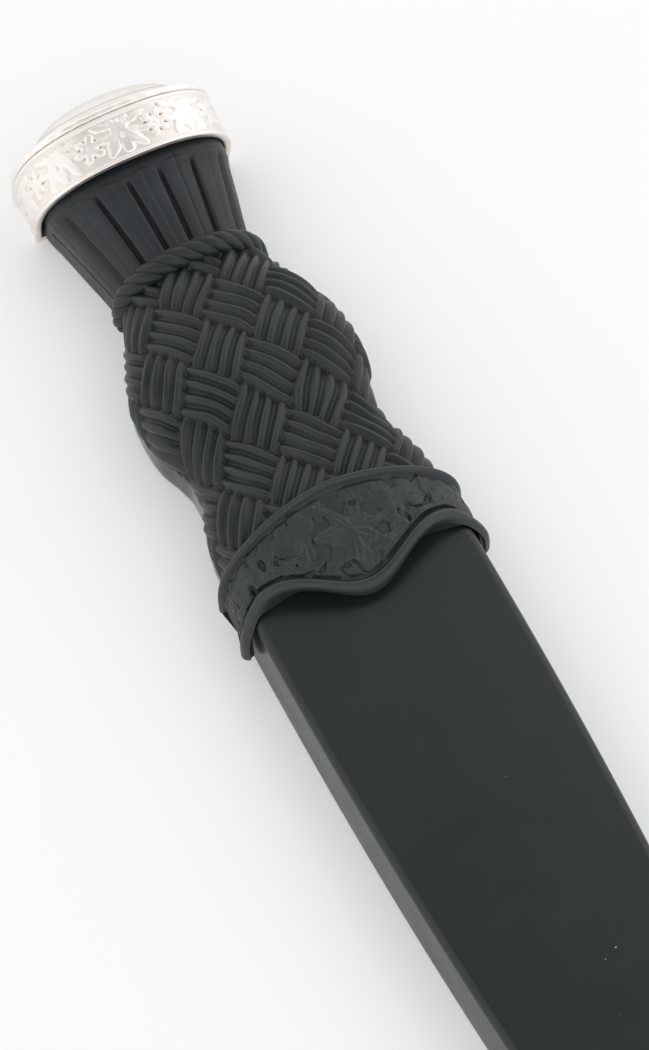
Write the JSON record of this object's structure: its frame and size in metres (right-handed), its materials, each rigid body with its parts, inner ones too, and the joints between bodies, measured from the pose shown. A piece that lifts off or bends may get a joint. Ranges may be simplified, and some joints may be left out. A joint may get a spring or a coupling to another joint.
{
  "type": "sheathed dress knife",
  "caption": "Small Scottish dress knife in its flat tapering black sheath, with a basket-weave grip, leaf-embossed ferrule, rope collar, fluted neck and silver domed pommel.",
  "frame": {"origin": "middle of the footprint on the surface that the flat back rests on", "axes": "+Y along the knife from the sheath's tip to the pommel, +X across it to the cutting edge's side, +Z out of the decorated front"},
  "size_m": [0.034, 0.1792, 0.0178],
  "materials": {
    "sheath_black": "fine satin moulding texture",
    "throat_black": "matt",
    "lining": "undyed vegetable-tanned leather board",
    "spring_steel": "bright rolled strip",
    "blade_steel": "satin ground, brighter along the bevel",
    "guard_brass": "tarnished",
    "ferrule_black": "satin, with low leaf relief",
    "grip_black": "satin, cut in a basket weave",
    "cord_black": "satin, twisted",
    "neck_black": "satin, fluted",
    "pommel_silver": "warm silver, lightly antiqued, with leaf relief",
    "dome_silver": "bright polished silver",
    "hardware_steel": "zinc plated"
  },
  "bodies": {
    "sheath": {"sheath_shell": "sheath_black", "throat_plate": "throat_black", "liner_front": "lining", "liner_back": "lining", "welt": "lining", "retention_spring": "spring_steel"},
    "knife": {"blade": "blade_steel", "guard_plate": "guard_brass", "ferrule": "ferrule_black", "grip": "grip_black", "twist_collar": "cord_black", "neck": "neck_black", "tang_washer": "hardware_steel", "tang_nut": "hardware_steel", "pommel_sleeve": "pommel_silver", "pommel_plate": "pommel_silver", "pommel_dome": "dome_silver", "sleeve_pins": "hardware_steel"}
  },
  "joints": [
    {"name": "knife_draw", "type": "slide", "parent": "sheath", "child": "knife", "axis": [0, 1, 0], "range_m": [0, 0.11]}
  ]
}
